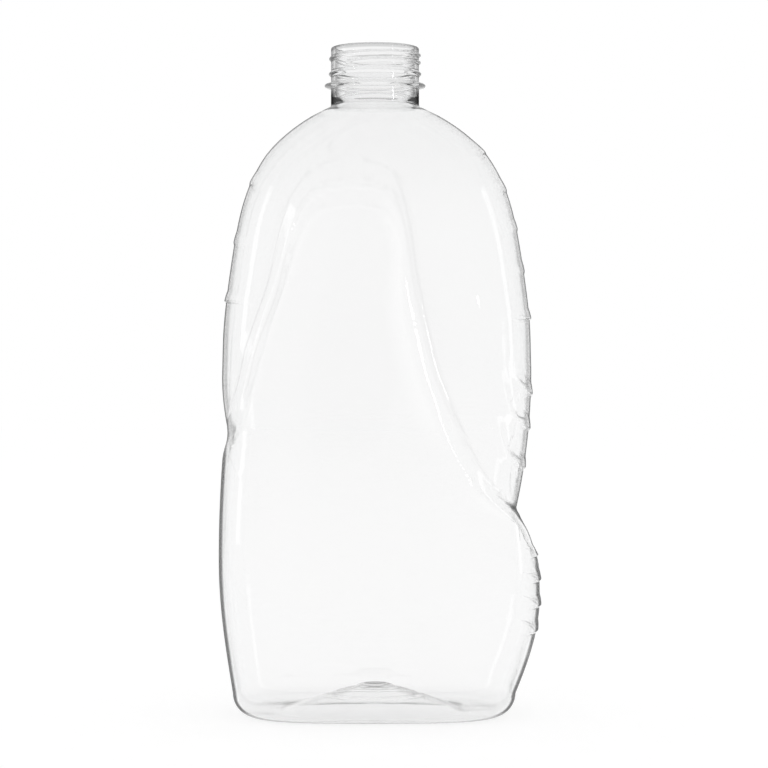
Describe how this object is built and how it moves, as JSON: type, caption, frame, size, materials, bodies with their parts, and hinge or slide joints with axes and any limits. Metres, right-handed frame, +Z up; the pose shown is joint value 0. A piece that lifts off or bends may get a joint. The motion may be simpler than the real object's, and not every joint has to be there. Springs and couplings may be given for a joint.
{
  "type": "plastic bottle",
  "caption": "Clear blown bottle with an arched, waisted body, front and back panels with swept edges, ribbed sides, a push-up base and a wide threaded neck.",
  "frame": {"origin": "on the table, under the middle of the neck", "axes": "+Z up along the neck, +X to the right as the front is seen, -Y to the front"},
  "size_m": [0.1281, 0.093, 0.2655],
  "materials": {
    "clear_pet": "gloss"
  },
  "bodies": {
    "root": {"bottle": "clear_pet"}
  },
  "joints": []
}
